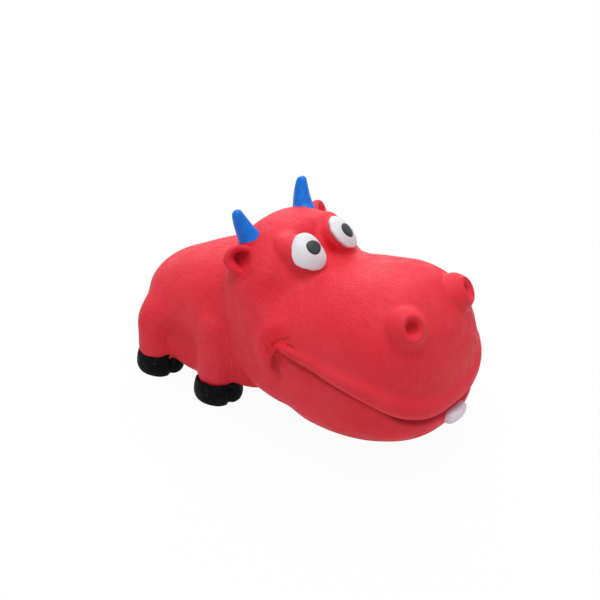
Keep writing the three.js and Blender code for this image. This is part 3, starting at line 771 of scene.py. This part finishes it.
# Paint edge of the eyes: turn in degrees from the outside of the head upwards, and reach from the middle
EYE_OUTLINE = {
    "right": [
        (0, 7.7), (27, 7.9), (63, 8.9), (92, 10.6), (118, 8.5),
        (169, 7.6), (205, 8.7), (236, 8.8), (272, 7.6), (317, 7.3),
    ],
    "left": [
        (0, 7.7), (27, 7.9), (63, 9.2), (92, 9.6), (120, 9.5),
        (150, 9.7), (180, 9.5), (213, 8.8), (250, 8.1), (317, 7.3),
    ],
}
EYE_PAINT = 0.45  # thickness of the white
EYE_EDGE = 1.2  # how far the edge of the paint dips into the skin
PUPIL_RADIUS = {"right": 3.55, "left": 3.8}
# Outwards and upwards from the middle of the eye
PUPIL_PLACE = {"right": (-2.75, 2.35), "left": (-2.4, 1.1)}
PUPIL_PAINT = 0.5  # thickness of the drop


def waves(turn, count=3):
    """A constant and the first few cosines and sines, as columns."""
    return np.column_stack([np.ones(len(turn))] + [
        wave(k * turn) for k in range(1, count + 1) for wave in (np.cos, np.sin)])


def outline_reach(side, turn):
    """Smooth closed curve through the paint edge."""
    angles, reaches = np.array(EYE_OUTLINE[side], float).T
    shares = np.linalg.lstsq(waves(np.radians(angles)), reaches, rcond=None)[0]
    return waves(turn) @ shares


def eye_white(name, side):
    """A skin of paint on the moulded eye, with an uneven edge."""
    centre = on_side(EYE_CENTRE, side)
    aim, upward, outside = eye_axes(side)
    wide, deep = EYE_RADIUS + 0.7, EYE_DEPTH + 0.5

    def place(share, turn):
        over = share > 0.5
        toward_edge = np.sin(share * math.pi)
        wobble = 0.06 * np.sin(5 * turn + 2 * SIDES[side]) + 0.05 * np.sin(11 * turn + 1)
        edge = np.minimum(outline_reach(side, turn) + 0.25 + wobble, wide * 0.995)
        fraction = 2 * np.arcsin(np.clip(toward_edge, 0, 1)) / math.pi
        lean = np.arcsin(np.clip(edge / wide, 0, 1)) * fraction
        face, base = EYE_PAINT * np.sqrt(np.clip(1 - fraction**8, 0, 1)), -1.2 * (1 - fraction**4)
        lift = np.where(over, face, base)
        lift = lift - EYE_EDGE * fading(fraction, 1, 0.86)
        out, height = (wide + lift) * np.sin(lean), (deep + lift) * np.cos(lean)
        return (centre + np.outer(out * np.cos(turn), outside) + np.outer(out * np.sin(turn), upward)
                + np.outer(height, aim))
    return outwards(shaped_ball(name, 64, 48, place))


def pupil(name, side):
    """A thick round drop of paint on the white of an eye."""
    centre = on_side(EYE_CENTRE, side)
    aim, upward, outside = eye_axes(side)
    wide, deep = EYE_RADIUS + 1.15, EYE_DEPTH + 0.95
    across, rise = np.array(PUPIL_PLACE[side]) / wide
    local = np.array([across, rise, math.sqrt(1 - across**2 - rise**2)])
    rim = []

    def place(share, turn):
        toward_edge = np.sin(share * math.pi)
        fraction = 2 * np.arcsin(np.clip(toward_edge, 0, 1)) / math.pi
        face, base = PUPIL_PAINT * np.sqrt(np.clip(1 - fraction**6, 0, 1)), -0.8 * (1 - fraction**4)
        lift = np.where(share > 0.5, face, base)
        rim.append(np.where(share > 0.5, fraction, 1))
        first = unit(np.cross((0, 1, 0), local))
        second = np.cross(local, first)
        radius = PUPIL_RADIUS[side] * (1 + 0.03 * np.sin(3 * turn)) * fraction / wide
        way = local + np.outer(radius * np.cos(turn), first) + np.outer(radius * np.sin(turn), second)
        way /= np.linalg.norm(way, axis=1)[:, None]
        spot = way * (wide, wide, deep) + way * lift[:, None]
        return centre + spot @ np.array([outside, upward, aim])
    piece = outwards(shaped_ball(name, 40, 32, place))
    store(piece, "rim", rim[0])
    return piece


HOOF_RADIUS = 11.6
HOOF_TURN = 17  # degrees that the toes point outwards
# From the middle of the sole round the wall to the top: reach and height
HOOF_PROFILE = [
    (0, 0.02), (0.5, 0.0), (0.82, 0.0), (0.93, 0.5), (0.99, 2.4), (1.0, 4.6), (0.965, 8.0),
    (0.915, 10.4), (0.89, 11.2), (0.85, 11.4), (0.78, 10.9), (0.4, 9.5), (0, 9.2),
]


def hoof(name, end, side):
    """Cloven hoof with a flat sole and an uneven upper paint edge."""
    seed = {"front": 0.0, "rear": 2.1}[end] + SIDES[side]
    heading = SIDES[side] * math.radians(HOOF_TURN)

    def place(share, turn):
        reach, height = smooth_table(HOOF_PROFILE, share).T
        reach = np.clip(reach, 0, 1)
        cleft = np.exp(-(turn / 0.13) ** 2) * fading(reach, 0.95, 0.5) * fading(height, 9, 11)
        toes = 1 + 0.045 * np.exp(-((np.abs(turn) - 0.5) / 0.3) ** 2)
        radius = HOOF_RADIUS * reach * (toes - 0.15 * cleft)
        ragged = 0.35 * np.sin(3 * turn + seed) + 0.2 * np.sin(7 * turn + 2 * seed)
        ragged += 0.12 * np.sin(13 * turn)
        z = height * (1 - 0.1 * (1 - np.cos(turn))) + fading(height, 10, 7) * ragged
        z = np.where(share < 0.18, 0, np.maximum(z, 0))
        return np.column_stack([
            LEG_PLACES[end] + radius * np.cos(turn + heading),
            SIDES[side] * LEG_SPREAD + radius * np.sin(turn + heading),
            z])
    return outwards(shaped_ball(name, 128, 56, place))


TOOTH_SIZE = (6, 14, 6)
TOOTH_FRONT = 85
TOOTH_MIDDLE = 1.5
TOOTH_TOP = 23.3
TOOTH_BEVEL = 1.9


def tooth(name):
    """A rounded block, bowed round the front of the jaw and narrower below."""
    bpy.ops.object.select_all(action="DESELECT")
    bpy.ops.mesh.primitive_cube_add(size=1)
    piece = bpy.context.object
    piece.name = piece.data.name = name
    centre = np.array([TOOTH_FRONT - TOOTH_SIZE[0] / 2, TOOTH_MIDDLE, TOOTH_TOP - TOOTH_SIZE[2] / 2])
    move_to(piece, centre + places_of(piece) * TOOTH_SIZE)
    bpy.ops.object.mode_set(mode="EDIT")
    bpy.ops.mesh.select_all(action="SELECT")
    bpy.ops.mesh.bevel(offset=TOOTH_BEVEL * MM, segments=5, profile=0.5, affect="EDGES")
    bpy.ops.mesh.subdivide(number_cuts=2)
    bpy.ops.object.mode_set(mode="OBJECT")
    points = places_of(piece) / MM
    y, drop = points[:, 1] - TOOTH_MIDDLE, TOOTH_TOP - points[:, 2]
    points[:, 1] = TOOTH_MIDDLE + y * (1 - 0.035 * np.clip(drop - 3, 0, None))
    points[:, 0] += -0.03 * y**2 - 0.012 * drop**2
    move_to(piece, points)
    return outwards(piece)


# Materials

def wire(material, kind, inputs=(), **settings):
    """A new node whose inputs are values or other nodes' outputs."""
    made = material.node_tree.nodes.new("ShaderNode" + kind)
    for key, value in settings.items():
        setattr(made, key, value)
    for key, value in dict(inputs).items():
        if isinstance(value, bpy.types.NodeSocket):
            material.node_tree.links.new(value, made.inputs[key])
        else:
            made.inputs[key].default_value = value
    return made


def coordinates(material):
    return wire(material, "TexCoord").outputs["Object"]


def noise(material, vector, scale, detail=2.0):
    return wire(material, "TexNoise", {"Vector": vector, "Scale": scale, "Detail": detail}).outputs["Fac"]


def strokes(material, vector, slope, length, pitch):
    """Noise drawn out along a direction that falls by slope degrees towards the front; sizes in mm."""
    sizes = (length * MM, pitch * MM, pitch * MM)
    turned = wire(material, "Mapping", {
        "Vector": vector, "Rotation": (0, math.radians(slope), 0), "Scale": sizes}, vector_type="TEXTURE")
    return noise(material, turned.outputs[0], 1.0, 1.0)


def attribute(material, name):
    return wire(material, "Attribute", attribute_name=name).outputs["Fac"]


def maths(material, operation, first, second=0.0):
    return wire(material, "Math", {0: first, 1: second}, operation=operation).outputs[0]


def ranged(material, value, low, high, to_low=0.0, to_high=1.0):
    return wire(material, "MapRange", {
        "Value": value, "From Min": low, "From Max": high, "To Min": to_low, "To Max": to_high,
    }, interpolation_type="SMOOTHSTEP").outputs[0]


def between(material, share, first, second):
    return wire(material, "Mix", {0: share, 2: first, 3: second}, data_type="FLOAT").outputs[0]


def tint(material, share, first, second):
    return wire(material, "Mix", {0: share, 6: first, 7: second}, data_type="RGBA").outputs[2]


def bump(material, height, depth, strength=1.0):
    return wire(material, "Bump", {
        "Height": height, "Distance": depth * MM, "Strength": strength}).outputs[0]


def new_material(name, **sockets):
    material = bpy.data.materials.new(name)
    material.use_nodes = True
    shader = material.node_tree.nodes["Principled BSDF"]
    for key, value in sockets.items():
        shader.inputs[key.replace("_", " ").title().replace("Ior", "IOR")].default_value = value
    return material, shader


def feed(material, shader, **sockets):
    for key, output in sockets.items():
        material.node_tree.links.new(output, shader.inputs[key.replace("_", " ").title()])


RED = (0.71, 0.024, 0.043, 1)
RED_DEEP = (0.50, 0.010, 0.022, 1)
RED_PALE = (0.74, 0.034, 0.056, 1)
RED_SHADE = (0.2, 0.003, 0.007, 1)  # in the depth of folds and holes
RED_BRIGHT = (0.78, 0.016, 0.026, 1)


# Strength of the painted shade in the grooves of the hair lines
HAIR_GROOVE_SHADE = 0.17
FOLD_TINT = 0.8
SHADE_TINT = 0.8


def latex(name, with_hair):
    """Matt red latex with fine grain and painted shade in folds and holes; with hair, moulded strokes that
    follow the body, painted darker in their grooves as shade.
    """
    material, shader = new_material(name, specular_ior_level=0.22)
    place = coordinates(material)
    patches = ranged(material, noise(material, place, 38, 3), 0.35, 0.7)
    colour = tint(material, patches, RED, RED_PALE)
    grain = noise(material, place, 2600, 1)
    height = maths(material, "MULTIPLY", grain, 0.12)
    if with_hair:
        lines = strokes(material, place, 6, 8, 1.0)
        lines = between(material, attribute(material, "head"), lines, strokes(material, place, 27, 7, 1.0))
        lines = between(material, attribute(material, "front"), lines, strokes(material, place, 68, 7, 1.0))
        lines = between(material, attribute(material, "leg"), lines, strokes(material, place, 90, 7, 1.1))
        groove = ranged(material, lines, 0.53, 0.36)
        groove = maths(material, "MULTIPLY", groove, attribute(material, "hair"))
        # Painted shade: the colour darkens in the grooves of the hair lines, whose relief is moulded
        colour = tint(material, maths(material, "MULTIPLY", groove, HAIR_GROOVE_SHADE), colour, RED_DEEP)
        fold = maths(material, "MULTIPLY", attribute(material, "fold"), FOLD_TINT)
        colour = tint(material, fold, colour, RED_BRIGHT)
        height = maths(material, "SUBTRACT", height, groove)
    shade = maths(material, "MULTIPLY", attribute(material, "shade"), SHADE_TINT)
    colour = tint(material, shade, colour, RED_SHADE)
    rough = ranged(material, noise(material, place, 160, 3), 0.3, 0.7, 0.54, 0.68)
    feed(material, shader, base_color=colour, roughness=rough, normal=bump(material, height, 0.25, 0.45))
    return material


BLUE = (0.001, 0.15, 0.67, 1)
BLUE_PALE = (0.004, 0.21, 0.76, 1)
WHITE = (0.67, 0.66, 0.685, 1)
WHITE_DULL = (0.60, 0.59, 0.625, 1)
BLACK = (0.004, 0.0045, 0.005, 1)
BLACK_WORN = (0.014, 0.016, 0.017, 1)
SLATE = (0.02, 0.024, 0.028, 1)
SLATE_PALE = (0.032, 0.038, 0.044, 1)
LILAC = (0.68, 0.58, 0.68, 1)
LILAC_PALE = (0.77, 0.70, 0.78, 1)


def horn_paint():
    material, shader = new_material("horn_blue", specular_ior_level=0.28)
    place = coordinates(material)
    streaks = noise(material, place, 220, 2)
    blue = tint(material, ranged(material, streaks, 0.4, 0.7), BLUE, BLUE_PALE)
    covered = ranged(material, attribute(material, "paint"), -0.12, 0.12)
    colour = tint(material, covered, RED, blue)
    satin = ranged(material, noise(material, place, 400, 2), 0.3, 0.7, 0.36, 0.48)
    rough = between(material, covered, 0.6, satin)
    brushed = maths(material, "MULTIPLY", noise(material, place, 900, 2), 0.5)
    height = maths(material, "ADD", covered, brushed)
    feed(material, shader, base_color=colour, roughness=rough, normal=bump(material, height, 0.12, 0.6))
    return material


def satin_paint(name, first, second, rough):
    material, shader = new_material(name)
    place = coordinates(material)
    colour = tint(material, ranged(material, noise(material, place, 130, 3), 0.35, 0.7), first, second)
    roughness = ranged(material, noise(material, place, 500, 2), 0.3, 0.7, rough - 0.06, rough + 0.06)
    feed(material, shader, base_color=colour, roughness=roughness,
         normal=bump(material, noise(material, place, 700, 2), 0.1, 0.5))
    return material


def pupil_paint():
    material, shader = new_material("pupil_slate", specular_ior_level=0.3)
    place = coordinates(material)
    edge = ranged(material, attribute(material, "rim"), 0.78, 0.92)
    grey = tint(material, ranged(material, noise(material, place, 400, 2), 0.4, 0.7), SLATE, SLATE_PALE)
    feed(material, shader, base_color=tint(material, edge, grey, BLACK),
         roughness=ranged(material, noise(material, place, 600, 2), 0.3, 0.7, 0.4, 0.52))
    return material


def hoof_paint():
    material, shader = new_material("hoof_black", specular_ior_level=0.04)
    place = coordinates(material)
    worn = ranged(material, noise(material, place, 300, 3), 0.52, 0.75)
    colour = tint(material, worn, BLACK, BLACK_WORN)
    chips = ranged(material, noise(material, place, 420, 1), 0.755, 0.765)
    colour = tint(material, chips, colour, RED_DEEP)
    rough = ranged(material, noise(material, place, 500, 2), 0.3, 0.7, 0.46, 0.6)
    feed(material, shader, base_color=colour, roughness=rough,
         normal=bump(material, noise(material, place, 800, 3), 0.15, 0.6))
    return material


CREAM = (0.78, 0.76, 0.70, 1)
CREAM_DULL = (0.70, 0.67, 0.60, 1)
BRASS = (0.60, 0.40, 0.10, 1)
BRASS_DARK = (0.42, 0.26, 0.06, 1)


def squeaker_plastic():
    material, shader = new_material("squeaker_plastic", specular_ior_level=0.4)
    place = coordinates(material)
    colour = tint(material, ranged(material, noise(material, place, 90, 3), 0.35, 0.7), CREAM, CREAM_DULL)
    rough = ranged(material, noise(material, place, 300, 2), 0.3, 0.7, 0.38, 0.52)
    feed(material, shader, base_color=colour, roughness=rough,
         normal=bump(material, noise(material, place, 1500, 2), 0.05, 0.5))
    return material


def reed_brass():
    material, shader = new_material("reed_brass", metallic=1.0)
    place = coordinates(material)
    rolled = strokes(material, place, 0, 6, 0.3)
    colour = tint(material, ranged(material, rolled, 0.35, 0.7), BRASS, BRASS_DARK)
    feed(material, shader, base_color=colour, roughness=ranged(material, rolled, 0.3, 0.7, 0.28, 0.45),
         normal=bump(material, rolled, 0.03, 0.5))
    return material


def dress(piece, material, slot, *nodes):
    """Gives a piece its material and hides the nodes that it stands for; slot is not used."""
    piece.data.materials.clear()
    piece.data.materials.append(material)
    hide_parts(*nodes)


# The toy

skin_latex = latex("latex_red", True)
plain_latex = latex("latex_plain", False)
blue_paint = horn_paint()
white_paint = satin_paint("eye_white", WHITE, WHITE_DULL, 0.42)
tooth_paint = satin_paint("tooth_lilac", LILAC, LILAC_PALE, 0.4)
slate_paint = pupil_paint()
black_paint = hoof_paint()

skin = fused_skin()
sculpt(skin)
map_hair(skin)
select_only(skin)
bpy.ops.object.shade_smooth()
legs = [f"{end}_{side}_leg" for end in LEG_PLACES for side in SIDES]
dress(skin, skin_latex, "latex_red", "trunk_shell", "back_panel", "head_shell", "lower_jaw",
      "right_nostril", "left_nostril", *legs)
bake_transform(skin)

for side in SIDES:
    seat, lean = on_side(HORN_SEAT, side), unit(on_side(HORN_LEAN, side))
    piece = horn(f"{side}_horn_moulding", side)
    dress(piece, blue_paint, "horn_blue", f"{side}_horn")
    start, end = (seat - 1.5 * lean) * MM, (seat + 6 * lean) * MM
    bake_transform(piece)

    seat, out = on_side(EAR_SEAT, side), on_side(EAR_OUT, side)
    piece = ear(f"{side}_ear_moulding", side)
    dress(piece, plain_latex, "latex_red", f"{side}_ear")
    start, end = (seat - out) * MM, (seat + 6 * out) * MM
    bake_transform(piece)

    piece = eye_white(f"{side}_eye_white", side)
    dress(piece, white_paint, "eye_white", f"{side}_eye")
    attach(piece, "toy")
    piece = pupil(f"{side}_pupil_drop", side)
    dress(piece, slate_paint, "hoof_black", f"{side}_pupil")
    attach(piece, "toy")

    for end in LEG_PLACES:
        piece = hoof(f"{end}_{side}_hoof_paint", end, side)
        dress(piece, black_paint, "hoof_black", f"{end}_{side}_hoof")
        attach(piece, "toy")

plastic, brass = squeaker_plastic(), reed_brass()
finishes = {"squeaker_case": plastic, "squeaker_lid": plastic, "reed_holder": plastic, "reed": brass}
for name, finish in finishes.items():
    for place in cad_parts[name].material_slots:
        place.material = finish

piece = tooth("front_tooth")
dress(piece, tooth_paint, "eye_white", "tooth")
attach(piece, "toy")

# Floor, lights and backdrop

bpy.ops.mesh.primitive_plane_add(size=4)
floor = bpy.context.object
floor.name = "floor"

FLOOR_GLOW = 0.96
PAPER = (0.85, 0.85, 0.85, 1)
PURE_WHITE = (1, 1, 1, 1)
ROOM_LIGHT = 0.515


def background_rays(owner):
    """1 for rays that show the backdrop: straight, mirrored or through something clear."""
    rays = wire(owner, "LightPath").outputs
    seen = maths(owner, "MAXIMUM", rays["Is Camera Ray"], rays["Is Glossy Ray"])
    return maths(owner, "MAXIMUM", seen, rays["Is Transmission Ray"])


paper = bpy.data.materials.new("white_paper")
paper.use_nodes = True
paper.node_tree.nodes.clear()
plain = wire(paper, "BsdfDiffuse", {"Color": PAPER}).outputs[0]
glow = wire(paper, "Emission", {"Color": PURE_WHITE, "Strength": 1.0}).outputs[0]
glowing = maths(paper, "MULTIPLY", background_rays(paper), FLOOR_GLOW)
shown = wire(paper, "MixShader", {"Fac": glowing, 1: plain, 2: glow}).outputs[0]
wire(paper, "OutputMaterial", {"Surface": shown})
floor.data.materials.append(paper)

world = bpy.data.worlds.new("studio")
bpy.context.scene.world = world
world.use_nodes = True
background = world.node_tree.nodes["Background"]
background.inputs["Color"].default_value = PURE_WHITE
level = wire(world, "MapRange", {"Value": background_rays(world), "To Min": ROOM_LIGHT, "To Max": 1.0})
world.node_tree.links.new(level.outputs[0], background.inputs["Strength"])


SOFTBOX_SIZE = 0.6


def softbox(name, place, target, power):
    """A round soft lamp that points at a target; places in metres, power in watts."""
    bpy.ops.object.light_add(type="AREA")
    lamp = bpy.context.object
    lamp.name = name
    lamp.location = Vector(place)
    lamp.rotation_euler = (Vector(target) - Vector(place)).to_track_quat("-Z", "Y").to_euler()
    lamp.data.shape = "DISK"
    lamp.data.size = SOFTBOX_SIZE
    lamp.data.energy = power


softbox("overhead_light", (0.03, 0, 0.8), (0, 0, 0.04), 4.1)
softbox("back_light", (-0.45, 0.55, 0.45), (0, 0, 0.06), 2.5)

bpy.context.scene.view_settings.view_transform = "Standard"
